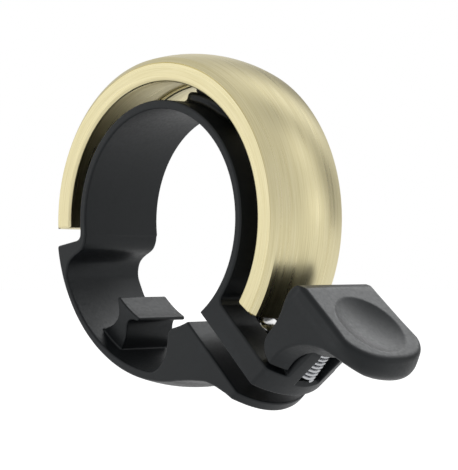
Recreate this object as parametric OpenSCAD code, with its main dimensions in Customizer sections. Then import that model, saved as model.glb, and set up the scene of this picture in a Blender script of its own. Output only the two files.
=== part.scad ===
// Bicycle bell with a partial-ring resonator on a split band clamp.
// Y is the axis of the handlebar, X points to the thumb side, Z is up.
// The origin is the centre of the clamp bore, half way along the bar.

/* [Clamp] */
// Diameter of the handlebar that the band closes on
bar_d = 31.8; // [31.0:0.1:32.2]
// Width of the band along the bar
band_w = 14.66; // [13.6:0.02:16]
// Thickness of the band
band_t = 1.25; // [1.0:0.05:1.4]
// Outer radius of the lower shell that closes the cable pocket
shell_r = 22.95; // [22.8:0.05:23.2]
// Radius of the inside of the cable pocket
pocket_r = 21.98; // [21.5:0.02:22.1]

/* [Ears] */
// Tilt of the ears below the horizontal
ear_a = 43.8; // [42:0.2:45]
// Gap between the two ears
slot_w = 2.75; // [2.2:0.05:3]
// Thickness of the upper ear
ear_t = 3.8; // [3.7:0.05:4]
// Radius of the rounded end of the ears, in plan
ear_end_r = 11.5; // [11:0.1:13]

/* [Bell ring] */
// Inner radius of the ring
ring_ri = 19.8; // [19.6:0.05:19.9]
// Outer radius of the ring at the middle of its crown
ring_ro = 24.2; // [24.0:0.05:24.5]
// Width of the ring along the bar
ring_w = 14.2; // [13:0.1:15]
// Angle where the ring begins, at the hammer
ring_a0 = -35.9; // [-36.2:0.1:-34]
// Angle that the ring covers
ring_arc = 218.9; // [190:0.1:219]
// Angle of the mounting screw
boss_a = 70; // [64:1:76]

/* [Lever] */
// Width of the thumb lever
lever_w = 14.2; // [13.8:0.1:14.6]
// Radius of the dish in the thumb pad
dish_r = 5.5; // [4:0.1:5.8]
// Depth of the dish
dish_d = 1.1; // [0.5:0.1:1.3]
// Radius of the pivot pins
pivot_r = 1.0; // [0.8:0.05:1.1]
// Running clearance of the pivot, on the radius
pivot_fit = 0.03; // [0.02:0.01:0.08]

/* [Hammer and spring] */
// Radius of the hammer head
hammer_r = 2.0; // [1.6:0.05:2.05]
// Outer radius of the return spring
spring_r = 1.5; // [1.2:0.05:1.6]
// Wire diameter of the return spring
wire_d = 0.4; // [0.3:0.05:0.45]

/* [Hidden] */
$fn = 96;
bar_r = bar_d / 2;
band_ro = bar_r + band_t;
hw = band_w / 2;
lw = lever_w / 2;
// heights across the ears, measured along their normal
slot_top = -3.35;
slot_bot = slot_top - slot_w;
ear_top = slot_top + ear_t;
// lever pivot in the ear frame
piv = [29.7, 4.0];
ham_u = 21.6;
spr_u = 30.85;
// half width of the groove inside the ring
groove = 1.8;
spr_z0 = -0.5;
spr_floor = -1.2;
spr_z1 = 7.2;
scr_u = 26.4;
chan = 2.35;
cheek = 4.35;
flange = 4.65;
pad_a = 2.6;
pad_o = [27.0, 13.05];

// frame of the ears: x runs outward along them, z is their normal
module ear_frame() rotate([0, ear_a, 0]) children();
// frame of the ring mount: x is the outward radius through the screw
module boss_frame() rotate([0, -boss_a, 0]) children();
// a flat outline in X and Z made into a slab centred on Y
module slab(w) rotate([90, 0, 0]) linear_extrude(height = w, center = true) children();
// a cylinder along Y
module ycyl(r, w, fn = 96) rotate([90, 0, 0]) cylinder(r = r, h = w, center = true, $fn = fn);
module at(u, n) translate([u, 0, n]) children();

// plan outline of an ear end: straight sides and one wide arc
module ear_plan(tip, z0, z1, w) {
    translate([0, 0, z0]) linear_extrude(height = z1 - z0) intersection() {
        translate([0, -w]) square([60, 2 * w]);
        union() {
            translate([0, -w]) square([tip - ear_end_r, 2 * w]);
            translate([tip - ear_end_r, 0]) circle(r = ear_end_r, $fn = 160);
        }
    }
}

// ---- clamp band -------------------------------------------------------
module pocket_outline() {
    difference() {
        union() {
            // main space under the bar
            intersection() {
                translate([0.15, -0.1]) circle(r = pocket_r, $fn = 160);
                polygon([[-15.9, -2], [-15.9, -3.1], [-16.6, -4.3], [-18, -5], [-19.2, -5.6],
                         [-19.9, -6.4], [-20.15, -7.5], [-30, -7.5], [-30, -30], [-1.7, -30],
                         [-1.1, -22.0], [0, -21.55], [1.1, -20.5], [1.9, -19.3], [2.1, -18], [2.3, -16.8],
                         [3, -15.8], [3.7, -15.25], [4.6, -14.95], [6, -14.6], [0, -10], [-12, -6]]);
            }
        }
    }
}

module finger_outline() {
    // foot, curved stem and head of the cable finger
    polygon([[-15.6, -16.9], [-14.4, -16.0], [-13.2, -15.9], [-12.2, -15.4], [-11.4, -14.6], [-11.0, -13.7],
             [-11.1, -12.9], [-11.3, -12.2], [-11.35, -11.7], [-11.1, -11.385],
             [-6.8, -14.37], [-6.95, -14.85], [-7.3, -14.95], [-8.1, -14.75], [-8.9, -14.8],
             [-9.4, -15.2], [-9.5, -16.0], [-9.5, -17.1], [-9.9, -18.2], [-10.6, -19.1], [-11.4, -20.0]]);
}

module band_outline() {
    difference() {
        union() {
            circle(r = band_ro, $fn = 160);
            // lower shell with the pointed left end
            difference() {
                translate([0.35, -0.35]) circle(r = shell_r, $fn = 160);
                polygon([[-30, -3.4], [-22.3, -3.8], [-17.8, -3.0], [-17.1, -2.3], [-16.9, -1.5],
                         [60, -1.5], [60, 60], [-30, 60]]);
                polygon([[9.3, -30], [9.3, -21.2], [8.6, -19], [7.6, -14], [7, 0], [60, 0], [60, -30]]);
            }
        }
    }
}

// outlines of the two ears, in the frame of the ears
module lower_ear_outline() {
    // wedge under the slot, thinning to the tip
    polygon([[14.2, slot_bot], [33, slot_bot], [33, -6.9], [30.5, -7.1], [29.2, -7.34], [28.06, -7.6],
             [26.9, -7.9], [24.9, -8.66], [23.07, -9.6], [21.4, -10.8], [19.9, -11.6],
             [17.5, -11.0], [15.2, -9.0], [14.0, -8.0]]);
}

module upper_ear_outline() {
    polygon([[14.5, slot_top], [34, slot_top], [34, ear_top], [17.9, ear_top],
             [17.3, 0.75], [16.95, 1.5], [16.75, 2.4], [15, 2.4]]);
}

// what is cut away outside the rounded end of an ear
module ear_trim(tip, z0, z1) {
    translate([0, 0, z0]) linear_extrude(height = z1 - z0) difference() {
        translate([tip - ear_end_r + 3, -20]) square([40, 40]);
        translate([tip - ear_end_r, 0]) circle(r = ear_end_r, $fn = 160);
    }
}

module nose() {
    // block between the lever flanges that holds the pivot pins and the spring
    ear_frame() intersection() {
        slab(2 * cheek) union() {
            translate(piv) circle(r = 3.7);
            translate([27.4, ear_top - 1]) square([5.7, piv[1] - ear_top + 1]);
        }
        translate([27.4, -10, ear_top - 1]) cube([10, 20, 12]);
        ear_plan(32.9, -1, 9, 9);
    }
}

module boss() {
    boss_frame() intersection() {
        union() {
            translate([16.4, 0, 0]) rotate([0, 90, 0]) {
                translate([-2.6, 0, 0]) cylinder(r = 3.3, h = 2.6);
                translate([2.6, 0, 0]) cylinder(r = 3.3, h = 2.6);
                translate([-2.6, -3.3, 0]) cube([5.2, 6.6, 2.6]);
            }
        }
        ycyl(18.6, 20, 160);
    }
}

// belly of the lower shell: carries on the crown of the ring between the faces
module shell_belly() {
    difference() {
        rotate([90, 0, 0]) rotate_extrude($fn = 160) polygon(concat([[22.3, -6.7]],
            [for (i = [0:12]) let (h = -6.7 + i * 13.4 / 12) [shell_r + 0.93 * (1 - pow(h / hw, 2)), h]],
            [[22.3, 6.7]]));
        slab(40) polygon([[-40, -8], [0, -8], [9.5, -12.0], [3.8, -20.5], [3.8, -40], [40, -40], [40, 40], [-40, 40]]);
    }
}

module clamp_band() {
    color([0.13, 0.135, 0.14]) difference() {
        union() {
            translate([0.35, 0, -0.35]) shell_belly();
            difference() {
                slab(band_w) union() {
                    difference() { band_outline(); pocket_outline(); }
                    rotate(-ear_a) lower_ear_outline();
                    difference() { rotate(-ear_a) upper_ear_outline(); circle(r = bar_r - 0.2); }
                }
                ear_frame() ear_trim(31.25, -12, slot_bot + 0.5);
                ear_frame() ear_trim(32.3, slot_top - 0.5, 3);
            }
            nose();
            boss();
            slab(9.4) finger_outline();
        }
        // handlebar
        ycyl(bar_r, band_w + 4, 160);
        // slot between the ears
        ear_frame() translate([10, -10, slot_bot]) cube([30, 20, slot_w]);
        // channel for the hammer arm and the spring
        ear_frame() {
            translate([21.1, 0, -2.15]) cylinder(r = chan, h = 8, $fn = 48);
            translate([21.1, -chan, -2.15]) cube([2.8, 2 * chan, 8]);
            translate([23.8, -chan, spr_floor]) cube([5.4, 2 * chan, 12]);
            translate([29.1, -chan, spr_z0]) cube([20, 2 * chan, 12]);
            translate([32.1, -chan, spr_floor]) cube([20, 2 * chan, 2]);
        }
        // clamp screw and its flanged nut
        ear_frame() at(scr_u, 0) {
            translate([0, 0, -12]) cylinder(r = 1.65, h = 12);
            translate([0, 0, slot_top - 0.1]) cylinder(r = 1.95, h = 3);
            translate([0, 0, -1.9]) cylinder(r = 2.3, h = 2);
            translate([0, 0, -14]) cylinder(r = 3.4, h = 14 - 7.0);
        }
        // pivot pins
        ear_frame() at(piv[0], piv[1]) ycyl(pivot_r, 12, 48);
        // countersunk hole for the ring screw
        boss_frame() rotate([0, 90, 0]) {
            cylinder(r = 1.6, h = 30);
            translate([0, 0, 10]) cylinder(r = 2.9, h = 6.3);
            translate([0, 0, 16.3]) cylinder(r1 = 2.9, r2 = 1.6, h = 1.3, $fn = 48);
        }
    }
}

// ---- bell ring --------------------------------------------------------
function crown(h) = ring_ro - 22.5 + sqrt(22.5 * 22.5 - h * h);
module bell_ring() {
    h1 = ring_w / 2 - 0.1;
    h0 = -ring_w / 2 - 0.1;
    ec = 0.45;
    color([0.85, 0.80, 0.66]) difference() {
        rotate([90, 0, 0]) rotate([0, 0, ring_a0]) rotate_extrude(angle = ring_arc, $fn = 180) polygon(concat(
            [[ring_ri + 0.5, h1], [ring_ri + 0.15, h1 - 0.15], [ring_ri, h1 - 0.5], [ring_ri, groove],
             [ring_ri + 0.5, groove], [ring_ri + 0.5, -groove], [ring_ri, -groove], [ring_ri, h0 + 0.5],
             [ring_ri + 0.15, h0 + 0.15], [ring_ri + 0.5, h0]],
            [[22.45, h0]],
            [for (i = [0:8]) let (h = h0 + ec + i * (h1 - h0 - 2 * ec) / 8) [crown(h), h]],
            [[22.45, h1]]));
        // blind tapped hole for the mounting screw
        boss_frame() rotate([0, 90, 0]) translate([0, 0, 10]) cylinder(r = 1.5, h = 12.6);
    }
}

module ring_isolator() {
    color([0.10, 0.10, 0.10]) boss_frame() difference() {
        intersection() {
            translate([16.4, 0, 0]) rotate([0, 90, 0]) {
                translate([-1.9, 0, 0]) cylinder(r = 2.8, h = 6);
                translate([1.9, 0, 0]) cylinder(r = 2.8, h = 6);
                translate([-1.9, -2.8, 0]) cube([3.8, 5.6, 6]);
            }
            difference() {
                union() {
                    ycyl(ring_ri, 20, 160);
                    ycyl(ring_ri + 0.5, 2 * groove - 0.1, 160);
                }
                ycyl(18.6, 22, 160);
            }
        }
        rotate([0, 90, 0]) cylinder(r = 1.6, h = 40);
    }
}

module ring_screw() {
    color([0.62, 0.62, 0.60]) boss_frame() rotate([0, 90, 0]) difference() {
        union() {
            translate([0, 0, 16.15]) cylinder(r = 2.75, h = 0.2);
            translate([0, 0, 16.35]) cylinder(r1 = 2.75, r2 = 1.45, h = 1.3, $fn = 48);
            translate([0, 0, 17.6]) cylinder(r = 1.45, h = 4.8);
        }
        translate([0, 0, 15]) cylinder(r = 1.0, h = 2.2, $fn = 6);
    }
}

// ---- clamp hardware ---------------------------------------------------
module clamp_screw() {
    color([0.66, 0.66, 0.65]) ear_frame() at(scr_u, 0) difference() {
        union() {
            translate([0, 0, -8.0]) cylinder(r = 1.5, h = 6.7);
            translate([0, 0, -8.75]) cylinder(r = 2.5, h = 1.35);
            translate([0, 0, -8.95]) cylinder(r1 = 2.3, r2 = 2.5, h = 0.2, $fn = 48);
        }
        translate([0, 0, -9.5]) cylinder(r = 1.15, h = 1.6, $fn = 6);
    }
}

module clamp_washer() {
    color([0.72, 0.72, 0.70]) ear_frame() at(scr_u, 0) difference() {
        translate([0, 0, -7.4]) cylinder(r = 3.1, h = 0.4);
        translate([0, 0, -8]) cylinder(r = 1.6, h = 1.5);
    }
}

module clamp_nut() {
    color([0.75, 0.62, 0.30]) ear_frame() at(scr_u, 0) difference() {
        union() {
            translate([0, 0, slot_top]) cylinder(r = 1.93, h = 1.6);
            translate([0, 0, -1.9]) cylinder(r = 2.28, h = 0.7);
        }
        translate([0, 0, -5]) cylinder(r = 1.52, h = 6);
    }
}

module pivot_pins() {
    color([0.70, 0.70, 0.70]) ear_frame() at(piv[0], piv[1]) for (s = [-1, 1])
        translate([0, s * 4.0, 0]) ycyl(pivot_r, 3.1, 48);
}

// ---- lever ------------------------------------------------------------
module side_outline() {
    // flanges, neck and the front of the pad, seen along the bar
    polygon([[26.8, 13.0], [26.1, 12.4], [25.7, 11.3], [25.75, 10.0], [26.2, 8.5], [26.7, 6.9],
             [27.0, 5.4], [27.0, 3.9], [27.15, 2.9], [27.7, 2.1], [28.4, 1.65], [29.3, 1.38], [30.2, 1.35],
             [31.6, 1.45], [31.8, 3.3], [31.9, 5.0], [32.3, 6.9], [33.5, 8.8], [35.0, 10.2],
             [36.6, 10.9], [37, 13.4]]);
}

module pad() {
    at(pad_o[0], pad_o[1]) rotate([0, -pad_a, 0]) hull() {
        for (s = [-1, 1]) {
            translate([0.2, s * (lw - 0.2), -0.4]) sphere(r = 0.2, $fn = 12);
            translate([9.3, s * (lw - 5), -3.0]) cylinder(r = 5, h = 3.0, $fn = 40);
            translate([9.3, s * 2.2, -4.9]) cylinder(r = 3.6, h = 0.4, $fn = 32);
        }
        translate([0, -lw + 0.3, -1]) cube([1, lever_w - 0.6, 1]);
        translate([3, -4.5, -4.6]) cube([1, 9, 1]);
    }
}

module lever() {
    color([0.14, 0.145, 0.15]) ear_frame() difference() {
        union() {
            difference() {
                intersection() {
                    union() {
                        slab(lever_w) side_outline();
                        pad();
                    }
                    union() {
                        ear_plan(32.2, 0, 6.4, lw);
                        translate([20, -10, 6.4]) cube([30, 20, 10]);
                    }
                }
                // space for the nose block
                slab(2 * flange) union() {
                    translate(piv) circle(r = 4.3);
                    translate([20, -3]) square([piv[0] + 4.3 - 20, piv[1] + 3]);
                    translate([20, 3]) square([piv[0] - 20, 4.1]);
                }
            }
            // hammer arm and the seat of the spring
            slab(4.0) union() {
                polygon([[26.6, 8.6], [28.4, 8.6], [28.4, 0.2], [27.6, -0.75], [24.3, -0.75], [23.5, -1.5],
                         [21.0, -1.5], [20.3, -1.0], [20.3, -0.55], [23.7, -0.55], [24.6, 0.6], [26.4, 1.5]]);
                translate([29.4, spr_z1]) square([3.2, 1.5]);
            }
        }
        // dish for the thumb
        at(pad_o[0], pad_o[1]) rotate([0, -pad_a, 0])
            translate([7.85, 0, (dish_r * dish_r + dish_d * dish_d) / (2 * dish_d) - dish_d])
                sphere(r = (dish_r * dish_r + dish_d * dish_d) / (2 * dish_d), $fn = 120);
        // blind pivot bores
        at(piv[0], piv[1]) ycyl(pivot_r + pivot_fit, 11.4, 48);
        // hammer rivet
        at(ham_u, -3) cylinder(r = 0.75, h = 4, $fn = 32);
    }
}

module hammer() {
    color([0.78, 0.78, 0.77]) ear_frame() at(ham_u, 0) rotate_extrude($fn = 64)
        polygon(concat([[0, -1.5], [0.74, -1.5], [0.74, -0.55], [hammer_r - 0.2, -0.55], [hammer_r, -0.35]],
                       [for (i = [0:6]) let (a = 15 * i) [hammer_r - 0.5 + 0.5 * cos(a), -0.05 + 0.5 * sin(a)]],
                       [[0, 0.55]]));
}

module return_spring() {
    // sleeve that the coil fills, from the pocket floor to the seat under the pad
    color([0.82, 0.83, 0.84]) ear_frame() at(spr_u, spr_z0) difference() {
        cylinder(r = spring_r, h = spr_z1 - spr_z0, $fn = 48);
        translate([0, 0, -1]) cylinder(r = spring_r - wire_d, h = 20, $fn = 48);
    }
}

clamp_band();
bell_ring();
ring_isolator();
ring_screw();
clamp_screw();
clamp_washer();
clamp_nut();
pivot_pins();
lever();
hammer();
return_spring();
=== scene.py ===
import bpy, bmesh, math
import numpy as np
from mathutils import Vector, Matrix


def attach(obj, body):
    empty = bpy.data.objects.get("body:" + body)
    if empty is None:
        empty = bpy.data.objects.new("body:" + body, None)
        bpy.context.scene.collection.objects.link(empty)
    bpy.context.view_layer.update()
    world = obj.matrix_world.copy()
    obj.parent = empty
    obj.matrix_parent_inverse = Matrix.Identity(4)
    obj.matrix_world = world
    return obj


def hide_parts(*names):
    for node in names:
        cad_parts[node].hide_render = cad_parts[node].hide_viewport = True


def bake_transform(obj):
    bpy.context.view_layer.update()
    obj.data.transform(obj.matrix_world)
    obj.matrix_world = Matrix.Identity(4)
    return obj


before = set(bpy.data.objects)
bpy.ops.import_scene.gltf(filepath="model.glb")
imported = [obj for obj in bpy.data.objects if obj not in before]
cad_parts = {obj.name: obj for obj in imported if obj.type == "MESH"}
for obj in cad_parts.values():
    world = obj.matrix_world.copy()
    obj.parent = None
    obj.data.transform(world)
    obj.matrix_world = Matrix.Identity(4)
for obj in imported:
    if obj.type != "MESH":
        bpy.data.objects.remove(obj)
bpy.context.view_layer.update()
MM = 0.001
F32 = np.float32

# ------------------------------------------------------------------ frame of the ears, in mm
EA = math.radians(43.8)
CE, SE = math.cos(EA), math.sin(EA)
PIV = (29.7, 4.0)
HAM_U, SPR_U, SCR_U = 21.6, 30.85, 26.4


def to_un(x, z):
    return x * CE - z * SE, x * SE + z * CE


EAR = Matrix(((CE, 0, SE), (0, 1, 0), (-SE, 0, CE)))
BOSS_A = math.radians(70)
BOSS = Matrix(((math.cos(BOSS_A), 0, -math.sin(BOSS_A)), (0, 1, 0), (math.sin(BOSS_A), 0, math.cos(BOSS_A))))


# ------------------------------------------------------------------ distance fields
def poly_sdf(poly, px, pz):
    """Signed distance to a closed outline, negative inside."""
    poly = np.asarray(poly, float)
    d = np.full(px.shape, 1e9)
    s = np.ones(px.shape)
    for p, q in zip(poly, np.roll(poly, -1, 0)):
        ex, ez = q - p
        ll = ex * ex + ez * ez
        if ll < 1e-12:
            continue
        wx, wz = px - p[0], pz - p[1]
        t = np.clip((wx * ex + wz * ez) / ll, 0, 1)
        rx, rz = wx - t * ex, wz - t * ez
        d = np.minimum(d, rx * rx + rz * rz)
        c1, c2, c3 = pz >= p[1], pz < q[1], ex * wz > ez * wx
        s = np.where((c1 & c2 & c3) | (~c1 & ~c2 & ~c3), -s, s)
    return s * np.sqrt(d)


def chaikin(pts, n=3, closed=True):
    p = np.asarray(pts, float)
    for _ in range(n):
        q = np.roll(p, -1, 0)
        out = np.empty((2 * len(p), 2))
        out[0::2], out[1::2] = 0.75 * p + 0.25 * q, 0.25 * p + 0.75 * q
        p = out
    return p


class Field2:
    """A 2-D distance field sampled on a fine grid and read back by smooth interpolation."""

    def __init__(self, fn, lo, hi, step, blur=0.0):
        self.lo, self.step = np.array(lo, float), step
        nx, nz = int((hi[0] - lo[0]) / step) + 2, int((hi[1] - lo[1]) / step) + 2
        gx, gz = np.meshgrid(lo[0] + step * np.arange(nx), lo[1] + step * np.arange(nz), indexing="ij")
        v = fn(gx, gz)
        if blur > 0:
            k = int(3 * blur / step) + 1
            w = np.exp(-0.5 * (np.arange(-k, k + 1) * step / blur) ** 2)
            w /= w.sum()
            for axis in (0, 1):
                pad = [(0, 0), (0, 0)]
                pad[axis] = (k, k)
                p = np.pad(v, pad, mode="edge")
                v = sum(wi * (p[i:i + v.shape[0], :] if axis == 0 else p[:, i:i + v.shape[1]]) for i, wi in enumerate(w))
        self.v = v.astype(F32)

    def __call__(self, x, z):
        a = np.clip((x - self.lo[0]) / self.step, 0, self.v.shape[0] - 1.001)
        b = np.clip((z - self.lo[1]) / self.step, 0, self.v.shape[1] - 1.001)
        i, j = a.astype(np.int32), b.astype(np.int32)
        fa, fb = (a - i).astype(F32), (b - j).astype(F32)
        v = self.v
        return ((v[i, j] * (1 - fa) + v[i + 1, j] * fa) * (1 - fb) + (v[i, j + 1] * (1 - fa) + v[i + 1, j + 1] * fa) * fb)


def rmax(a, b, r):
    """Intersection with a rounded edge of radius r."""
    return np.minimum(np.maximum(a + r, b + r), 0) + np.hypot(np.maximum(a + r, 0), np.maximum(b + r, 0)) - r


def rmin(a, b, r):
    """Union with a fillet of radius r."""
    return -rmax(-a, -b, r)


def surface(fn, lo, hi, step):
    """Surface nets: quads on the zero level of fn over a box."""
    ax = [np.arange(int((h - l) / step) + 2) * step + l for l, h in zip(lo, hi)]
    V = fn(ax[0][:, None, None].astype(F32), ax[1][None, :, None].astype(F32), ax[2][None, None, :].astype(F32))
    V = np.broadcast_to(V, [len(a) for a in ax]).astype(F32)
    S = V < 0
    c = np.zeros([n - 1 for n in V.shape], np.int8)
    for i in (0, 1):
        for j in (0, 1):
            for k in (0, 1):
                c += S[i:i + c.shape[0], j:j + c.shape[1], k:k + c.shape[2]]
    act = np.argwhere((c > 0) & (c < 8))
    idx = np.full(c.shape, -1, np.int32)
    idx[tuple(act.T)] = np.arange(len(act))
    val = {}
    for i in (0, 1):
        for j in (0, 1):
            for k in (0, 1):
                val[i, j, k] = V[act[:, 0] + i, act[:, 1] + j, act[:, 2] + k]
    acc, cnt = np.zeros((len(act), 3)), np.zeros(len(act))
    for a in val:
        for axis in range(3):
            if a[axis]:
                continue
            b = tuple(1 if m == axis else a[m] for m in range(3))
            va, vb = val[a], val[b]
            m = (va < 0) != (vb < 0)
            t = np.where(m, va / np.where(m, va - vb, 1), 0)
            p = np.tile(np.array(a, float), (len(act), 1))
            p[:, axis] = t
            acc[m] += p[m]
            cnt[m] += 1
    co = (act + acc / cnt[:, None]) * step + np.array([a[0] for a in ax])
    quads = []
    for axis in range(3):
        sl0 = [slice(1, -1)] * 3
        sl0[axis] = slice(0, -1)
        sl1 = list(sl0)
        sl1[axis] = slice(1, None)
        A, B = S[tuple(sl0)], S[tuple(sl1)]
        e = np.argwhere(A != B)
        off = np.ones(3, int)
        off[axis] = 0
        e = e + off
        inside = S[tuple(e.T)]
        o1, o2 = (axis + 1) % 3, (axis + 2) % 3
        d1, d2 = np.zeros(3, int), np.zeros(3, int)
        d1[o1], d2[o2] = 1, 1
        q = np.stack([idx[tuple((e - d1 - d2).T)], idx[tuple((e - d2).T)], idx[tuple(e.T)], idx[tuple((e - d1).T)]], 1)
        q[~inside] = q[~inside][:, ::-1]
        quads.append(q)
    return co, np.vstack(quads)


def gradient(fn, co, h=0.03):
    g = np.empty_like(co)
    for k in range(3):
        a, b = co.copy(), co.copy()
        a[:, k] += h
        b[:, k] -= h
        g[:, k] = (fn(*a.T) - fn(*b.T)) / (2 * h)
    return g


def mesh_object(name, co, faces, normals=None):
    me = bpy.data.meshes.new(name)
    me.from_pydata([tuple(v) for v in (np.asarray(co) * MM).tolist()], [], [tuple(f) for f in faces])
    me.update()
    ob = bpy.data.objects.new(name, me)
    bpy.context.scene.collection.objects.link(ob)
    me.shade_smooth()
    if normals is not None:
        me.normals_split_custom_set_from_vertices([tuple(n) for n in np.asarray(normals).tolist()])
    return ob


def unfold(me):
    """Welds coincident points and takes out pairs of faces that lie back to back on the same corners."""
    bm = bmesh.new()
    bm.from_mesh(me)
    for _ in range(3):
        bmesh.ops.remove_doubles(bm, verts=bm.verts[:], dist=1e-7)
        bm.verts.index_update()
        seen = {}
        for f in bm.faces:
            seen.setdefault(tuple(sorted(v.index for v in f.verts)), []).append(f)
        drop = [f for fs in seen.values() if len(fs) > 1 for f in (fs if len(fs) % 2 == 0 else fs[1:])]
        if not drop:
            break
        bmesh.ops.delete(bm, geom=drop, context="FACES")
    bm.to_mesh(me)
    bm.free()
    me.update()


def sculpt(name, fn, lo, hi, step, keep):
    """A smooth closed mesh of the field fn, thinned to a share of its faces and put back on the surface."""
    co, quads = surface(fn, lo, hi, step)
    ob = mesh_object(name, co, quads.tolist())
    mod = ob.modifiers.new("thin", "DECIMATE")
    mod.ratio = keep
    dg = bpy.context.evaluated_depsgraph_get()
    dg.update()
    me = bpy.data.meshes.new_from_object(ob.evaluated_get(dg))
    ob.modifiers.clear()
    old = ob.data
    ob.data = me
    bpy.data.meshes.remove(old)
    me.name = name
    n = len(me.vertices)
    co = np.empty(n * 3)
    me.vertices.foreach_get("co", co)
    co = co.reshape(-1, 3) / MM
    for _ in range(2):
        g = gradient(fn, co)
        gg = np.maximum((g * g).sum(1), 0.25)
        d = np.clip(fn(*co.T) / gg, -0.1, 0.1)
        co -= g * d[:, None]
    me.vertices.foreach_set("co", (co * MM).astype(F32).ravel())
    me.update()
    unfold(me)
    co = np.empty(len(me.vertices) * 3)
    me.vertices.foreach_get("co", co)
    co = co.reshape(-1, 3) / MM
    g = gradient(fn, co, 0.05)
    g /= np.linalg.norm(g, axis=1)[:, None] + 1e-9
    me.shade_smooth()
    me.normals_split_custom_set_from_vertices([tuple(v) for v in g.tolist()])
    return ob


# ------------------------------------------------------------------ clamp band
def band_outline(x, z):
    u, n = to_un(x, z)
    up = [(14.5, -3.35), (34, -3.35), (34, 0.45), (17.9, 0.45), (17.35, 0.75), (17.0, 1.35), (16.8, 2.4), (15, 2.4)]
    return np.minimum(np.hypot(x, z) - 17.15, poly_sdf(up, u, n))


def shell_outline(x, z):
    u, n = to_un(x, z)
    cut = [(-30, -3.4), (-22.3, -3.8), (-17.95, -3.02), (-17.4, -2.75), (-17.05, -2.2), (-16.9, -1.5), (60, -1.5), (60, 60), (-30, 60)]
    cutr = [(9.3, -30), (9.3, -21.2), (8.6, -19), (7.6, -14), (7, 0), (60, 0), (60, -30)]
    shell = np.hypot(x - 0.35, z + 0.35) - 22.95
    shell = np.maximum(shell, -poly_sdf(cut, x, z))
    shell = np.maximum(shell, -poly_sdf(cutr, x, z))
    low = [(14.2, -6.1), (33, -6.1), (33, -6.9), (30.5, -7.1), (29.2, -7.34), (28.06, -7.6), (26.9, -7.9), (24.9, -8.66), (23.07, -9.6), (21.4, -10.75), (19.9, -11.6), (18.8, -12.3), (17.5, -11.0), (15.2, -9.0), (14.0, -8.0)]
    return rmin(shell, poly_sdf(low, u, n), 1.8)


def pocket_outline(x, z):
    left = [(-14.5, -2.0), (-15.9, -2.0), (-15.93, -3.0), (-16.5, -4.2), (-17.3, -4.75), (-18.2, -5.15), (-19.1, -5.7), (-19.8, -6.4), (-20.12, -7.4), (-20.15, -8.4)]
    arc = [(0.15 + 21.98 * math.cos(a), -0.1 + 21.98 * math.sin(a)) for a in np.radians(np.arange(204, 262, 3))]
    right = [(-2.2, -22.0), (-1.1, -22.0), (-0.1, -21.6), (0.7, -20.95), (1.3, -20.2), (1.82, -19.26), (2.01, -18.38), (2.14, -17.5), (2.2, -16.7), (2.3, -16.25), (2.56, -15.95), (3.04, -15.55), (3.52, -15.2), (4.32, -14.85), (5.28, -14.7), (6.23, -14.6), (5, -12), (0, -10), (-12, -4)]
    return poly_sdf(chaikin(left + arc + right, 2), x, z)


def finger_outline(x, z):
    pts = [(-15.9, -16.9), (-15.1, -16.55), (-14.0, -16.0), (-13.0, -15.75), (-12.2, -15.3), (-11.5, -14.6), (-11.15, -13.8), (-11.2, -13.0),
           (-11.4, -12.3), (-11.55, -11.7), (-11.3, -11.35), (-10.9, -11.58), (-9.5, -12.75), (-8.2, -13.62), (-7.2, -14.18), (-6.85, -14.35),
           (-6.8, -14.75), (-7.15, -14.95), (-8.0, -14.75), (-8.7, -14.75), (-9.25, -15.05), (-9.5, -15.7), (-9.55, -16.6), (-9.8, -17.6), (-10.4, -18.7), (-11.3, -20.2), (-14, -18.6)]
    return np.maximum(poly_sdf(chaikin(pts, 2), x, z), 15.92 - np.hypot(x, z))


RES = 0.06
BAND2 = Field2(band_outline, (-24, -28), (28, 19), RES, 0.12)
SHELL2 = Field2(shell_outline, (-26, -28), (28, 19), RES, 0.15)
POCKET2 = Field2(pocket_outline, (-24, -28), (28, 19), RES, 0.12)
FINGER2 = Field2(finger_outline, (-24, -27), (28, 19), 0.06, 0.12)


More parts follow.
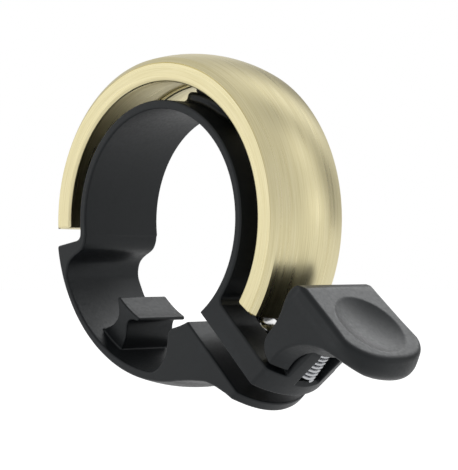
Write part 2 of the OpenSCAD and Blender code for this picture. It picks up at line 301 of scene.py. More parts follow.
def clamp_field(x, y, z):
    u, n = to_un(x, z)
    ay = np.abs(y)
    # plan of the ears, with a slight draft
    c = np.where(n < -4.7, 19.6 + 0.1 * (n + 6.1), 20.72 + 0.14 * (n + 3.35))
    plan = np.where(u > c, np.hypot(np.maximum(u - c, 0), y), ay) - 11.5
    plan = np.where(u > 18, plan, -5.0)
    # the lower half carries on the crown of the ring; it dies out below the step on the left
    w = np.clip((-4.0 - z) / 4.0, 0, 1) * (1 - 0.36 * np.clip((u - 19) / 5, 0, 1))
    lower = SHELL2(x, z) - w * 1.12 * np.clip(1 - (y / 7.33) ** 2, 0, 1)
    slab = rmin(BAND2(x, z) + 0 * y, lower, 0.15)
    slab = rmax(slab, -POCKET2(x, z), 0.15)
    slot = np.maximum(np.maximum(n + 3.35, -6.1 - n), 10 - u)
    slab = rmax(slab, -slot + 0 * y, 0.12)
    slab = rmax(slab, 15.9 - np.hypot(x, z) + 0 * y, 0.12)
    d = rmax(slab, ay - 7.33, 0.28)
    # nose block
    nose = np.minimum(np.hypot(u - PIV[0], n - PIV[1]) - 3.7, np.maximum(np.maximum(27.4 - u, n - 4.0), np.maximum(u - 40, -0.6 - n)))
    nose = np.maximum(nose, 27.4 - u)
    nose = np.maximum(nose, -0.6 - n)
    nose = rmax(nose, ay - 4.35, 0.25)
    d = rmin(d, nose, 0.3)
    d = rmax(d, plan, 0.28)
    # cable finger
    fin = rmax(FINGER2(x, z) + 0 * y, ay - 4.7, 0.22)
    d = rmin(d, fin, 0.25)
    # boss of the ring
    cb, sb = math.cos(BOSS_A), math.sin(BOSS_A)
    rad, tan = x * cb + z * sb, -x * sb + z * cb
    r = np.hypot(x, z)
    st = np.hypot(np.maximum(np.abs(tan) - 2.6, 0), y) - 3.3
    boss = rmax(np.maximum(st, 16.5 - rad), r - 18.6, 0.55)
    d = rmin(d, boss, 0.5)
    # channel, window and spring pocket
    floor_n = np.where(u < 29.1, 1.2, np.clip(0.5 + (u - 31.95) * 1.1, 0.5, 1.2))
    ch = np.maximum(np.where(u < 21.1, np.hypot(np.minimum(u - 21.1, 0), y), ay) - 2.35, np.where(u < 23.85, -2.15 - n, -floor_n - n))
    d = rmax(d, -ch, 0.1)
    # holes
    rs = np.hypot(u - SCR_U, y)
    d = np.maximum(d, -(rs - 1.66))
    d = np.maximum(d, -np.maximum(rs - 3.4, n + 7.0))
    rb = np.hypot(tan, y)
    cone = np.maximum(rb - 1.6 - np.clip(17.6 - rad, 0, 1.3), -rad)
    d = np.maximum(d, -cone)
    d = np.maximum(d, 15.9 - r)
    return d


# ------------------------------------------------------------------ lever
PAD_A = math.radians(2.6)
PAD_O = (27.0, 13.05)


def lever_left(u, n):
    pts = [(28.2, 13.5), (27.0, 13.02), (26.25, 12.5), (25.82, 11.75), (25.66, 10.9), (25.74, 10.0), (26.0, 9.0), (26.4, 7.9), (26.72, 6.6), (26.85, 5.4), (26.78, 4.3),
           (26.82, 3.2), (27.1, 2.4), (27.7, 1.75), (28.6, 1.3), (29.5, 1.1), (31.0, 1.12), (33, 1.2), (60, 1.2), (60, 13.5)]
    return poly_sdf(pts, u, n)


LEFT2 = Field2(lever_left, (20, -3), (46, 18), 0.04, 0.2)
ARCH_N = np.array([-5, 2.6, 3.4, 4.4, 5.3, 6.2, 7.0, 7.75, 8.4, 8.95, 9.45, 9.85, 10.2, 10.5, 10.75, 11.0])
ARCH_G = np.array([0, 0, 0.12, 0.42, 0.88, 1.5, 2.15, 2.9, 3.65, 4.4, 5.2, 6.0, 6.9, 7.9, 9.0, 12.0])


def _pchip(xs, ys, x):
    return np.interp(x, xs, ys)


_an = np.linspace(-5, 11, 321)
_ag = np.interp(_an, ARCH_N, ARCH_G)
_k = np.exp(-0.5 * (np.arange(-14, 15) * 0.05 / 0.28) ** 2)
_ag = np.convolve(np.pad(_ag, 14, mode="edge"), _k / _k.sum(), mode="valid")


def pad_plan(s, y):
    """Plan of the thumb pad: parallel sides that spread a little and a broad round end."""
    hw = 7.1 + 0.035 * np.clip(s, 0, 12)
    ay = np.abs(y)
    side = ay - hw
    s0 = 8.6
    p = 2.35
    q = (np.maximum(s - s0, 0) / 5.75) ** p + (ay / np.maximum(hw, 1)) ** p
    end = (q ** (1 / p) - 1) * 5.9
    return np.where(s > s0, end, side)


def lever_field(x, y, z):
    u, n = to_un(x, z)
    ay = np.abs(y)
    ca, sa = math.cos(PAD_A), math.sin(PAD_A)
    du, dn = u - PAD_O[0], n - PAD_O[1]
    s, t = du * ca + dn * sa, -du * sa + dn * ca      # along the pad face, and out of it
    # neck and flanges: left of the arch surface
    arc = 20.95 + np.sqrt(np.maximum(11.5 ** 2 - y * y, 1))
    g = np.interp(n, _an, _ag).astype(F32)
    slope = np.sqrt(1 + (np.interp(n + 0.1, _an, _ag) - np.interp(n - 0.1, _an, _ag)).astype(F32) ** 2 * 25)
    arch = (u - arc - g) / slope
    side = ay - (7.1 + 0.035 * np.clip(s, 0, 12))
    body = rmax(LEFT2(u, n) + 0 * y, side, 0.3)
    body = rmax(body, arch, 0.3)
    # pad
    pl = pad_plan(s, y)
    body = rmax(body, pl, 0.3)
    belly = -(4.15 + 0.19 * y + 0.9 * np.clip((s - 10) / 4, 0, 1) ** 2) - t
    swell = np.clip((s - 7) / 7, 0, 1) ** 2 * np.maximum(0.95 * (1 - ((t + 3.0) / 3.0) ** 2) - 0.1, -0.1)
    pad = rmax(pl - swell, belly, 2.8)
    pad = np.maximum(pad, 0.6 - s)
    d = rmin(body, pad, 1.2)
    d = rmax(d, side - 0.25 * np.clip((s - 7) / 5, 0, 1), 0.12)
    d = rmax(d, t, 0.75)
    # dish
    R = (5.5 ** 2 + 1.0 ** 2) / (2 * 1.0)
    dish = np.sqrt((s - 7.85) ** 2 + y * y + (t - (R - 1.0)) ** 2) - R
    d = rmax(d, -dish, 0.06)
    # hollow between the flanges
    hol = np.minimum(np.hypot(u - PIV[0], n - PIV[1]) - 4.3, np.maximum(np.maximum(20 - u, u - 34), n - 4.0))
    hol = np.minimum(hol, np.maximum(np.maximum(20 - u, u - PIV[0]), n - 7.1))
    hol = rmax(hol + 0 * y, ay - 4.65, 0.2)
    d = rmax(d, -hol, 0.12)
    # hammer arm and spring seat
    web = rmax(WEB2(u, n) + 0 * y, ay - 2.0, 0.2)
    d = np.minimum(d, web)
    d = np.maximum(d, -np.maximum(np.hypot(u - PIV[0], n - PIV[1]) - 1.10, ay - 5.65))
    d = np.maximum(d, -np.maximum(np.hypot(u - HAM_U, y) - 0.75, n + 0.3))
    return d


def web_outline(u, n):
    pts = [(26.6, 8.6), (28.4, 8.6), (28.4, 0.2), (27.6, -0.75), (24.3, -0.75), (23.5, -1.5), (21.0, -1.5), (20.3, -1.0), (20.3, -0.55), (23.7, -0.55), (24.6, 0.6), (26.4, 1.5)]
    a = poly_sdf(pts, u, n)
    b = np.maximum(np.maximum(29.4 - u, u - 32.6), np.maximum(7.2 - n, n - 8.7))
    return np.minimum(a, b)


WEB2 = Field2(web_outline, (18, -4), (36, 11), 0.06, 0.1)

STEP_C, STEP_L = ((0.15, 0.11))
clamp = sculpt("clamp_band_moulding", clamp_field, (-24.2, -7.9, -28.6), (28.4, 7.9, 19.4), STEP_C, 0.28)
lever = sculpt("thumb_lever", lever_field, (12.5, -8.0, -23.5), (40.5, 8.0, -6.5), STEP_L, 0.32)


# ------------------------------------------------------------------ turned pieces
def lathe(name, prof, a0, a1, steps, closed_profile, matrix, offset=(0, 0, 0), end_round=0.0, corner=0.0):
    """Revolves prof = [(r, h, nr, nh), ...] round the local Z axis. Angles in degrees; a full turn joins up."""
    prof = np.array(prof, float)
    full = abs(a1 - a0) >= 359.99
    m = len(prof)
    if full:
        ang = np.radians(np.linspace(a0, a1, steps, endpoint=False))
        inset = np.zeros(steps)
        tilt = np.zeros(steps)
    else:
        rm = prof[:, 0].mean()
        k = 7
        e = end_round
        f = np.linspace(0, 1, k)
        s = e * (1 - np.cos(f * math.pi / 2))
        da = np.degrees(s / rm)
        inner = np.linspace(a0 + da[-1], a1 - da[-1], steps)
        ang = np.radians(np.concatenate([a0 + da[:-1], inner, a1 - da[:-1][::-1]]))
        ins = e * (1 - np.sin(f * math.pi / 2))
        inset = np.concatenate([ins[:-1], np.zeros(steps), ins[:-1][::-1]])
        tl = np.cos(f * math.pi / 2)
        tilt = np.concatenate([-tl[:-1], np.zeros(steps), tl[:-1][::-1]])
    vs, ns = [], []
    for a, i, tt in zip(ang, inset, tilt):
        r, h = prof[:, 0] - prof[:, 2] * i, prof[:, 1] - prof[:, 3] * i
        c, sn = math.cos(a), math.sin(a)
        vs.append(np.stack([r * c, r * sn, h], 1))
        w = math.sqrt(max(1 - tt * tt, 0))
        nv = np.stack([prof[:, 2] * c * w - sn * tt, prof[:, 2] * sn * w + c * tt, prof[:, 3] * w], 1)
        d = (a - ang[0]) * 20.3
        if corner > 0 and d < corner:
            least = prof[:, 0].min() + corner - math.sqrt(max(corner ** 2 - (corner - d) ** 2, 0)) + i
            low = r < least
            r = np.maximum(r, least)
            vs[-1] = np.stack([r * c, r * sn, h], 1)
            sp = (corner - d) / corner
            cp = math.sqrt(max(1 - sp * sp, 0))
            flat = np.maximum(np.abs(prof[:, 3]) - 0.5, 0) * 2
            nin = np.stack([-c * cp + sn * sp + 0 * r, -sn * cp - c * sp + 0 * r, 0 * r], 1)
            m1 = (low & (flat < 0.9))[:, None]
            nv = np.where(m1, nin, nv)
        ns.append(nv)
    vs, ns = np.vstack(vs), np.vstack(ns)
    k = len(ang)
    faces = []
    last = m if closed_profile else m - 1
    for i in range(k if full else k - 1):
        j = (i + 1) % k
        for p in range(last):
            q = (p + 1) % m
            faces.append((i * m + p, j * m + p, j * m + q, i * m + q))
    if not full:
        base = len(vs)
        for ring, sgn in ((0, -1), (k - 1, 1)):
            a = ang[ring]
            vs = np.vstack([vs, vs[ring * m:(ring + 1) * m]])
            ns = np.vstack([ns, np.tile([-math.sin(a) * sgn, math.cos(a) * sgn, 0], (m, 1))])
            loop = list(range(base, base + m))
            faces.append(tuple(loop[::-1] if sgn > 0 else loop))
            base += m
    M = np.array(matrix, float)
    vs = (vs + np.array(offset)) @ M.T
    ns = ns @ M.T
    return vs, faces, ns


def rounded_profile(pts, radii, seg=5):
    """A closed outline (r, h) with rounded corners and exact normals at every point. Runs anticlockwise in (r, h)."""
    pts = np.array(pts, float)
    out = []
    n = len(pts)
    for i in range(n):
        a, b, c = pts[i - 1], pts[i], pts[(i + 1) % n]
        d0, d1 = (b - a) / np.linalg.norm(b - a), (c - b) / np.linalg.norm(c - b)
        n0, n1 = np.array([d0[1], -d0[0]]), np.array([d1[1], -d1[0]])
        r = radii[i]
        turn = math.atan2(d0[0] * d1[1] - d0[1] * d1[0], float(d0 @ d1))
        if r <= 0 or abs(turn) < 0.02:
            nn = (n0 + n1) / np.linalg.norm(n0 + n1)
            out.append((*b, *nn))
            continue
        cut = r * abs(math.tan(turn / 2))
        p0 = b - d0 * cut
        cen = p0 - n0 * r * math.copysign(1, turn)
        for k in range(seg + 1):
            w = turn * k / seg
            cs, sn = math.cos(w), math.sin(w)
            nv = np.array([n0[0] * cs - n0[1] * sn, n0[0] * sn + n0[1] * cs])
            out.append((*(cen + nv * r * math.copysign(1, turn)), *nv))
    return out


XZ = np.array([[1, 0, 0], [0, 0, -1], [0, 1, 0]], float)      # local Z becomes -Y, angles run from +X to +Z
EARM = np.array(EAR, float)
BOSSM = np.array(BOSS, float)
XUP = np.array([[0, 0, 1], [0, 1, 0], [-1, 0, 0]], float)     # local Z becomes +X


def crown(h):
    return 24.2 - 22.5 + math.sqrt(22.5 ** 2 - h * h)


h1, h0 = 7.0, -7.2
outer = [(crown(h), h) for h in np.linspace(h0 + 0.45, h1 - 0.75, 25)]
ring_pts = [(19.8, h1), (19.8, 1.8), (20.3, 1.8), (20.3, -1.8), (19.8, -1.8), (19.8, h0), (22.45, h0)] + outer + [(22.56, h1 - 0.06), (22.50, h1 - 0.12), (22.43, h1)]
ring_rad = [0.5, 0.36, 0.1, 0.1, 0.36, 0.5, 0.07] + [0.12] + [0] * 23 + [0.12] + [0.01, 0.01, 0.02]
ring_prof = rounded_profile(ring_pts, ring_rad)
v, f, nrm = lathe("ring", ring_prof, -35.9, 183, 400, True, XZ, end_round=0.3, corner=1.1)
ring = mesh_object("bell_ring_turned", v, f, nrm)
unfold(ring.data)


def turned(name, pts, radii, matrix, offset, steps=96, seg=4):
    """A closed solid of revolution from an open outline that starts and ends on the axis."""
    n = len(pts)
    prof = []
    P = np.array(pts, float)
    for i in range(n):
        if i == 0 or i == n - 1:
            d = (P[1] - P[0]) if i == 0 else (P[-1] - P[-2])
            d = d / np.linalg.norm(d)
            prof.append((*P[i], d[1], -d[0]))
            continue
        d0, d1 = (P[i] - P[i - 1]), (P[i + 1] - P[i])
        l0, l1 = np.linalg.norm(d0), np.linalg.norm(d1)
        d0, d1 = d0 / l0, d1 / l1
        n0, n1 = np.array([d0[1], -d0[0]]), np.array([d1[1], -d1[0]])
        turn = math.atan2(d0[0] * d1[1] - d0[1] * d1[0], float(d0 @ d1))
        r = radii[i]
        if r <= 0:
            prof.append((*(P[i] - d0 * min(0.02, l0 / 3)), *n0))
            prof.append((*(P[i] + d1 * min(0.02, l1 / 3)), *n1))
            continue
        cut = min(r * abs(math.tan(turn / 2)), l0 * 0.49, l1 * 0.49)
        r = cut / max(abs(math.tan(turn / 2)), 1e-6)
        sg = math.copysign(1, turn)
        cen = P[i] - d0 * cut - n0 * r * sg
        for k in range(seg + 1):
            w = turn * k / seg
            cs, sn = math.cos(w), math.sin(w)
            nv = np.array([n0[0] * cs - n0[1] * sn, n0[0] * sn + n0[1] * cs])
            prof.append((*(cen + nv * r * sg), *nv))
    prof = np.array(prof)
    k, m = steps, len(prof) - 2
    ang = 2 * math.pi * np.arange(k) / k
    vs = [[0, 0, prof[0, 1]], [0, 0, prof[-1, 1]]]
    ns = [[0, 0, prof[0, 3]], [0, 0, prof[-1, 3]]]
    for a in ang:
        c, s = math.cos(a), math.sin(a)
        for r, h, nr, nh in prof[1:-1]:
            vs.append([r * c, r * s, h])
            ns.append([nr * c, nr * s, nh])
    faces = []
    for i in range(k):
        j = (i + 1) % k
        bi, bj = 2 + i * m, 2 + j * m
        faces.append((0, bj, bi))
        faces.append((1, bi + m - 1, bj + m - 1))
        for p in range(m - 1):
            faces.append((bi + p, bj + p, bj + p + 1, bi + p + 1))
    M = np.array(matrix, float)
    vs = (np.array(vs) + np.array(offset)) @ M.T
    ns = np.array(ns) @ M.T
    return mesh_object(name, vs, faces, ns)


# hammer: stem, shoulder and domed head
hammer = turned("hammer_head", [(0, -1.5), (0.72, -1.5), (0.72, -0.55), (1.98, -0.55), (1.98, 0.15), (1.35, 0.45), (0, 0.55)],
                [0, 0.1, 0.05, 0.12, 0.3, 0.9, 0], EARM, (HAM_U, 0, 0), seg=7)

# return spring: closed and ground ends, five open turns between
def coil(name, r, wire, z0, z1, turns, dead, per=40, sides=10):
    n = int((turns + 2 * dead) * per)
    t = np.linspace(0, turns + 2 * dead, n + 1)
    k = (z1 - z0 - wire) - 2 * dead * wire * 0.96
    z = np.where(t < dead, t * wire * 0.96, np.where(t > dead + turns, dead * wire * 0.96 + k + (t - dead - turns) * wire * 0.96, dead * wire * 0.96 + (t - dead) / turns * k)) + z0 + wire / 2
    w = np.exp(-0.5 * (np.arange(-8, 9) / 4.0) ** 2)
    z = np.convolve(np.pad(z, 8, mode="reflect", reflect_type="odd"), w / w.sum(), mode="valid")
    a = 2 * math.pi * t
    P = np.stack([r * np.cos(a), r * np.sin(a), z], 1)
    T = np.gradient(P, axis=0)
    T /= np.linalg.norm(T, axis=1)[:, None]
    N = np.stack([np.cos(a), np.sin(a), 0 * a], 1)
    B = np.cross(T, N)
    B /= np.linalg.norm(B, axis=1)[:, None]
    b = 2 * math.pi * np.arange(sides) / sides
    vs = (P[:, None] + wire / 2 * (N[:, None] * np.cos(b)[None, :, None] + B[:, None] * np.sin(b)[None, :, None]))
    ns = (N[:, None] * np.cos(b)[None, :, None] + B[:, None] * np.sin(b)[None, :, None])
    m = len(P)
    faces = []
    for i in range(m - 1):
        for j in range(sides):
            q = (j + 1) % sides
            faces.append((i * sides + j, i * sides + q, (i + 1) * sides + q, (i + 1) * sides + j))
    faces.append(tuple(range(sides))[::-1])
    faces.append(tuple(range((m - 1) * sides, m * sides)))
    vs = vs.reshape(-1, 3) + np.array([SPR_U, 0, 0])
    return mesh_object(name, vs @ EARM.T, faces)


spring = coil("return_spring_coil", 1.42, 0.56, -0.5, 7.2, 8.6, 1.0)

# rubber block with its edges broken
def stadium(name, half, r, z0, z1, matrix, top_r=None, edge=0.25):
    """An upright slot-shaped block; its top follows the inside of the ring when top_r is given."""
    k = 28
    prof = []
    for i in range(k):
        a = math.pi * (i / (k - 1) - 0.5)
        prof.append((half + r * math.cos(a), r * math.sin(a)))
    for i in range(k):
        a = math.pi * (i / (k - 1) + 0.5)
        prof.append((-half + r * math.cos(a), r * math.sin(a)))
    prof = np.array(prof)
    cen = np.clip(prof[:, 0], -half, half)
    dirs = prof - np.stack([cen, 0 * cen], 1)
    dirs /= np.linalg.norm(dirs, axis=1)[:, None]
    rows = []
    for ins, dz in [(r * 0.999, 0), (edge, 0), (edge * 0.3, edge * 0.3), (0, edge), (0, None), (edge * 0.3, -edge * 0.3), (edge, 0.0001), (r * 0.999, 0.0001)]:
        rows.append((ins, dz))
    vs = []
    for idx, (ins, dz) in enumerate(rows):
        p = prof - dirs * ins
        top = idx >= 4
        for tx, ty in p:
            base = (math.sqrt(max(top_r ** 2 - tx * tx, 0)) if top_r else z1) if top else (math.sqrt(18.6 ** 2 - tx * tx))
            if idx == 4:
                zz = base - edge
            else:
                zz = base + (dz or 0)
            vs.append([tx, ty, zz])
    m = len(prof)
    faces = []
    for i in range(len(rows) - 1):
        for j in range(m):
            q = (j + 1) % m
            faces.append((i * m + j, i * m + q, (i + 1) * m + q, (i + 1) * m + j))
    faces.append(tuple(range(m))[::-1])
    faces.append(tuple(range((len(rows) - 1) * m, len(rows) * m)))
    # local (tangent, y, radial) to the row frame
    cb, sb = math.cos(BOSS_A), math.sin(BOSS_A)
    V = np.array(vs)
    out = np.stack([V[:, 2] * cb - V[:, 0] * sb, V[:, 1], V[:, 2] * sb + V[:, 0] * cb], 1)
    return mesh_object(name, out, faces)


isolator = stadium("ring_isolator_block", 1.9, 2.8, 18.6, 19.8, BOSSM, top_r=19.78)


# ------------------------------------------------------------------ materials
def material(name):
    m = bpy.data.materials.new(name)
    m.use_nodes = True
    nt = m.node_tree
    nt.nodes.clear()
    out = nt.nodes.new("ShaderNodeOutputMaterial")
    b = nt.nodes.new("ShaderNodeBsdfPrincipled")
    nt.links.new(b.outputs[0], out.inputs[0])
    return m, nt, b


def node(nt, kind, **kw):
    n = nt.nodes.new(kind)
    for k, v in kw.items():
        if k.startswith("i_"):
            n.inputs[int(k[2:])].default_value = v
        else:
            setattr(n, k, v)
    return n


def noise(nt, vec, scale, detail=3.0, rough=0.5):
    n = nt.nodes.new("ShaderNodeTexNoise")
    n.inputs["Scale"].default_value = scale
    n.inputs["Detail"].default_value = detail
    n.inputs["Roughness"].default_value = rough
    nt.links.new(vec, n.inputs["Vector"])
    return n.outputs["Fac"]


def ramp(nt, fac, a, b, c0, c1):
    r = nt.nodes.new("ShaderNodeMapRange")
    r.inputs["From Min"].default_value = a
    r.inputs["From Max"].default_value = b
    r.inputs["To Min"].default_value = c0
    r.inputs["To Max"].default_value = c1
    nt.links.new(fac, r.inputs["Value"])
    return r.outputs["Result"]


def colour_ramp(nt, fac, stops):
    r = nt.nodes.new("ShaderNodeValToRGB")
    e = r.color_ramp.elements
    while len(e) < len(stops):
        e.new(0.5)
    for i, (p, c) in enumerate(stops):
        e[i].position = p
        e[i].color = (*c, 1)
    nt.links.new(fac, r.inputs["Fac"])
    return r.outputs["Color"]


def bump(nt, height, strength, distance):
    b = nt.nodes.new("ShaderNodeBump")
    b.inputs["Strength"].default_value = strength
    b.inputs["Distance"].default_value = distance
    nt.links.new(height, b.inputs["Height"])
    return b.outputs["Normal"]


def nylon(name, base, rough0, rough1):
    """Glass-filled nylon off a fine spark-eroded tool: tiny grain, soft uneven gloss, and a painted highlight that
    makes the colour paler on convex edges.
    """
    m, nt, b = material(name)
    co = nt.nodes.new("ShaderNodeTexCoord").outputs["Object"]
    fine = noise(nt, co, 9000, 2.0, 0.6)
    mid = noise(nt, co, 2200, 3.0, 0.55)
    big = noise(nt, co, 130, 3.0, 0.5)
    mixed = nt.nodes.new("ShaderNodeMath")
    mixed.operation = "ADD"
    nt.links.new(fine, mixed.inputs[0])
    nt.links.new(mid, mixed.inputs[1])
    nt.links.new(bump(nt, mixed.outputs[0], 0.16, 0.00002), b.inputs["Normal"])
    # painted highlight: convex edges (high pointiness) mix up to 35% of a paler copy of the base colour into the albedo
    geo = nt.nodes.new("ShaderNodeNewGeometry")
    edge = ramp(nt, geo.outputs["Pointiness"], 0.52, 0.60, 0.0, 1.0)
    col = colour_ramp(nt, big, [(0.3, tuple(c * 0.86 for c in base)), (0.7, tuple(c * 1.14 for c in base))])
    painted_edge_highlight = nt.nodes.new("ShaderNodeMix")
    painted_edge_highlight.data_type = "RGBA"
    nt.links.new(ramp(nt, edge, 0, 1, 0.0, 0.35), painted_edge_highlight.inputs["Factor"])
    nt.links.new(col, painted_edge_highlight.inputs["A"])
    painted_edge_highlight.inputs["B"].default_value = (*[min(c * 2.2, 1) for c in base], 1)
    nt.links.new(painted_edge_highlight.outputs["Result"], b.inputs["Base Color"])
    nt.links.new(ramp(nt, mid, 0.3, 0.7, rough0, rough1), b.inputs["Roughness"])
    b.inputs["Specular IOR Level"].default_value = 0.36
    b.inputs["Specular Tint"].default_value = (0.94, 0.98, 1.0, 1)
    return m


def brass(name):
    """Pale brass, brushed round the ring: streaks follow the turn, faces carry finer rings."""
    m, nt, b = material(name)
    pos = nt.nodes.new("ShaderNodeTexCoord").outputs["Object"]
    sep = nt.nodes.new("ShaderNodeSeparateXYZ")
    nt.links.new(pos, sep.inputs[0])
    at = node(nt, "ShaderNodeMath", operation="ARCTAN2")
    nt.links.new(sep.outputs["Z"], at.inputs[0])
    nt.links.new(sep.outputs["X"], at.inputs[1])
    xz = nt.nodes.new("ShaderNodeCombineXYZ")
    nt.links.new(sep.outputs["X"], xz.inputs[0])
    nt.links.new(sep.outputs["Z"], xz.inputs[1])
    ln = node(nt, "ShaderNodeVectorMath", operation="LENGTH")
    nt.links.new(xz.outputs[0], ln.inputs[0])
    # stretched coordinates: angle is slow, width and radius are fast
    def stretched(ka, kr, ky):
        c = nt.nodes.new("ShaderNodeCombineXYZ")
        for sock, src, k in ((0, at.outputs[0], ka), (1, ln.outputs["Value"], kr), (2, sep.outputs["Y"], ky)):
            mm = node(nt, "ShaderNodeMath", operation="MULTIPLY")
            nt.links.new(src, mm.inputs[0])
            mm.inputs[1].default_value = k
            nt.links.new(mm.outputs[0], c.inputs[sock])
        return c.outputs[0]
    streak = noise(nt, stretched(2.2, 7000, 7000), 1.0, 3.0, 0.65)
    fine = noise(nt, stretched(7.0, 14000, 14000), 1.0, 1.0, 0.5)
    broad = noise(nt, stretched(1.1, 1500, 1500), 1.0, 2.0, 0.5)
    add = node(nt, "ShaderNodeMath", operation="ADD")
    nt.links.new(streak, add.inputs[0])
    nt.links.new(fine, add.inputs[1])
    nt.links.new(bump(nt, add.outputs[0], 0.06, 0.000012), b.inputs["Normal"])
    col = colour_ramp(nt, streak, [(0.25, (0.72, 0.635, 0.35)), (0.5, (0.85, 0.765, 0.465)), (0.8, (0.95, 0.87, 0.58))])
    nt.links.new(col, b.inputs["Base Color"])
    nt.links.new(ramp(nt, broad, 0.3, 0.7, 0.26, 0.36), b.inputs["Roughness"])
    b.inputs["Metallic"].default_value = 1.0
    b.inputs["Anisotropic"].default_value = 0.55
    # tangent runs round the ring
    neg = node(nt, "ShaderNodeMath", operation="MULTIPLY")
    nt.links.new(sep.outputs["Z"], neg.inputs[0])
    neg.inputs[1].default_value = -1.0
    tg = nt.nodes.new("ShaderNodeCombineXYZ")
    nt.links.new(neg.outputs[0], tg.inputs[0])
    nt.links.new(sep.outputs["X"], tg.inputs[2])
    nz = node(nt, "ShaderNodeVectorMath", operation="NORMALIZE")
    nt.links.new(tg.outputs[0], nz.inputs[0])
    nt.links.new(nz.outputs[0], b.inputs["Tangent"])
    return m


def steel(name, base, rough0, rough1, scale=1500, aniso=0.0, metallic=1.0):
    m, nt, b = material(name)
    co = nt.nodes.new("ShaderNodeTexCoord").outputs["Object"]
    a = noise(nt, co, scale, 4.0, 0.6)
    c = noise(nt, co, scale * 6, 2.0, 0.6)
    nt.links.new(colour_ramp(nt, a, [(0.3, tuple(x * 0.88 for x in base)), (0.7, tuple(min(x * 1.06, 1) for x in base))]), b.inputs["Base Color"])
    nt.links.new(ramp(nt, a, 0.3, 0.7, rough0, rough1), b.inputs["Roughness"])
    nt.links.new(bump(nt, c, 0.08, 0.00001), b.inputs["Normal"])
    b.inputs["Metallic"].default_value = metallic
    return m


M_BAND = nylon("nylon_black", (0.0055, 0.0066, 0.0076), 0.34, 0.46)
M_LEVER = nylon("nylon_black_lever", (0.0055, 0.0066, 0.0076), 0.34, 0.46)
M_BRASS = brass("brushed_brass")
M_HAMMER = steel("bright_steel", (0.80, 0.80, 0.80), 0.08, 0.16)
M_SPRING = steel("spring_wire", (0.60, 0.61, 0.63), 0.20, 0.34, 4000)
M_ZINC = steel("zinc_plate", (0.62, 0.62, 0.60), 0.22, 0.38, 2500)
M_NUT = steel("nut_brass", (0.74, 0.56, 0.26), 0.22, 0.36, 2500)
M_RUBBER = steel("rubber_black", (0.018, 0.018, 0.018), 0.62, 0.78, 3000, metallic=0.0)

for ob, mat, body, nodes, slot in (
    (clamp, M_BAND, "clamp", ["clamp_band"], "black_nylon"),
    (lever, M_LEVER, "lever", ["lever"], "black_nylon"),
    (ring, M_BRASS, "clamp", ["bell_ring"], "brushed_brass"),
    (hammer, M_HAMMER, "lever", ["hammer"], "bright_steel"),
    (isolator, M_RUBBER, "clamp", ["ring_isolator"], "rubber"),
):
    ob.data.materials.clear()
    ob.data.materials.append(mat)
    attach(ob, body)
    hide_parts(*nodes)

spring.data.materials.append(M_SPRING)
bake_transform(spring)
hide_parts("return_spring")

for name, mat in (("clamp_screw", M_ZINC), ("clamp_washer", M_ZINC), ("ring_screw", M_ZINC), ("clamp_nut", M_NUT), ("pivot_pins", M_HAMMER)):
    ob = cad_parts[name]
    if not ob.material_slots:
        ob.data.materials.append(mat)
    for s in ob.material_slots:
        s.material = mat

# ------------------------------------------------------------------ camera, floor and light
scene = bpy.context.scene
cam_data = bpy.data.cameras.new("camera")
cam = bpy.data.objects.new("camera", cam_data)
scene.collection.objects.link(cam)
scene.camera = cam
az, el = math.radians(45.53), math.radians(-0.56)
back = Vector((math.sin(az) * math.cos(el), -math.cos(az) * math.cos(el), math.sin(el)))
right = (-back).cross(Vector((0, 0, 1))).normalized()
up = right.cross(-back)
cam.location = (back * 292.62 + right * 5.18 + up * -2.23) * MM
cam.rotation_mode = "QUATERNION"
cam.rotation_quaternion = (-back).to_track_quat("-Z", "Y")
cam_data.sensor_width = 36
cam_data.sensor_fit = "AUTO"
cam_data.lens = 2000 * 36 / 470
cam_data.clip_start, cam_data.clip_end = 0.01, 20

scene.view_settings.view_transform = "Standard"
scene.view_settings.look = "None"


def area(name, loc, target, size, power, size_y=None):
    l = bpy.data.lights.new(name, "AREA")
    l.shape = "RECTANGLE"
    l.size = size
    l.size_y = size_y or size
    l.energy = power
    o = bpy.data.objects.new(name, l)
    scene.collection.objects.link(o)
    o.location = loc
    o.rotation_mode = "QUATERNION"
    o.rotation_quaternion = (Vector(target) - Vector(loc)).to_track_quat("-Z", "Y")
    return o


floor = None
fm, fnt, fb = material("floor_white")
fb.inputs["Base Color"].default_value = (0.72, 0.72, 0.72, 1)
fb.inputs["Roughness"].default_value = 0.9
fb.inputs["Specular IOR Level"].default_value = 0.0
fb.inputs["Emission Color"].default_value = (1, 1, 1, 1)
flp = fnt.nodes.new("ShaderNodeLightPath")
fnt.links.new(ramp(fnt, flp.outputs["Is Camera Ray"], 0, 1, 0.34, 0.70), fb.inputs["Emission Strength"])
me = bpy.data.meshes.new("floor")
S = 3.0
me.from_pydata([(-S, -S, -0.08), (S, -S, -0.08), (S, S, -0.08), (-S, S, -0.08)], [], [(0, 1, 2, 3)])
floor = bpy.data.objects.new("floor", me)
scene.collection.objects.link(floor)
me.materials.append(fm)

world = bpy.data.worlds.new("studio")
scene.world = world
world.use_nodes = True
wn = world.node_tree
wn.nodes.clear()
wout = wn.nodes.new("ShaderNodeOutputWorld")
bg = wn.nodes.new("ShaderNodeBackground")
seen = wn.nodes.new("ShaderNodeBackground")
seen.inputs["Color"].default_value = (1, 1, 1, 1)
mixw = wn.nodes.new("ShaderNodeMixShader")
lp = wn.nodes.new("ShaderNodeLightPath")
wn.links.new(lp.outputs["Is Camera Ray"], mixw.inputs[0])
wn.links.new(bg.outputs[0], mixw.inputs[1])
wn.links.new(seen.outputs[0], mixw.inputs[2])
wn.links.new(mixw.outputs[0], wout.inputs[0])
bg.inputs["Color"].default_value = (1, 1, 1, 1)
tc = wn.nodes.new("ShaderNodeTexCoord")
unit = wn.nodes.new("ShaderNodeVectorMath")
unit.operation = "NORMALIZE"
wn.links.new(tc.outputs["Generated"], unit.inputs[0])


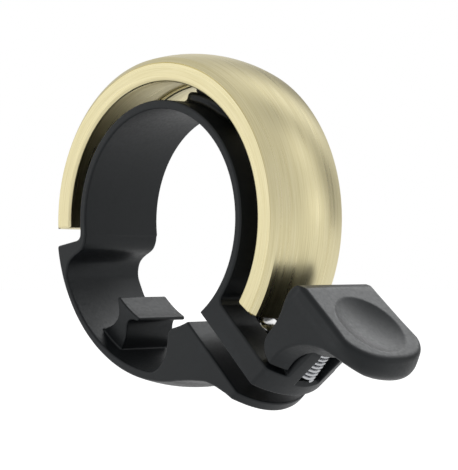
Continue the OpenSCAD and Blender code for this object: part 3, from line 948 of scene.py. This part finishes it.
def quarter(total, az_deg, el_deg, half_deg, amount):
    """Adds a soft round patch of light (or shade) to the studio."""
    a, e = math.radians(az_deg), math.radians(el_deg)
    dot = wn.nodes.new("ShaderNodeVectorMath")
    dot.operation = "DOT_PRODUCT"
    wn.links.new(unit.outputs[0], dot.inputs[0])
    dot.inputs[1].default_value = (math.cos(a) * math.cos(e), math.sin(a) * math.cos(e), math.sin(e))
    k = 0.69 / (1 - math.cos(math.radians(half_deg)))
    m1 = wn.nodes.new("ShaderNodeMath")
    m1.operation = "MULTIPLY_ADD"
    wn.links.new(dot.outputs["Value"], m1.inputs[0])
    m1.inputs[1].default_value, m1.inputs[2].default_value = k, -k
    m2 = wn.nodes.new("ShaderNodeMath")
    m2.operation = "EXPONENT"
    wn.links.new(m1.outputs[0], m2.inputs[0])
    m3 = wn.nodes.new("ShaderNodeMath")
    m3.operation = "MULTIPLY_ADD"
    wn.links.new(m2.outputs[0], m3.inputs[0])
    m3.inputs[1].default_value = amount
    if isinstance(total, float):
        m3.inputs[2].default_value = total
    else:
        wn.links.new(total, m3.inputs[2])
    return m3.outputs[0]


total = 0.62
for patch in ((-135, 0, 22, 0.50), (-75, 0, 16, -0.12), (50, 5, 8, 0.62), (55, 33, 8, 0.55), (70, 0, 7, -0.42), (71, 16, 7, -0.45), (73, 34, 7, -0.45), (66, 52, 8, -0.38),
              (92, 33, 9, 0.50), (98, 50, 10, 0.50), (118, 24, 10, -0.45), (117, 44, 7, -0.15), (134, 22, 5, 0.45), (0, -90, 40, 0.10)):
    total = quarter(total, *patch)
wn.links.new(total, bg.inputs["Strength"])

# radiance of each softbox = energy / (pi * area)
def softbox(name, direction, dist, w, h, radiance):
    d = Vector(direction).normalized()
    return area(name, d * dist, (0, 0, 0), w, radiance * math.pi * w * h, h)


pad_light = softbox("pad_light", (-0.04, 0.70, 0.715), 0.8, 0.6, 0.6, 2.15)
clamp_light = softbox("clamp_light", (-0.04, 0.70, 0.715), 0.8, 0.6, 0.6, 1.45)
for lamp, ob in ((pad_light, lever), (clamp_light, clamp)):
    group = bpy.data.collections.new(lamp.name + "_on")
    group.objects.link(ob)
    lamp.light_linking.receiver_collection = group
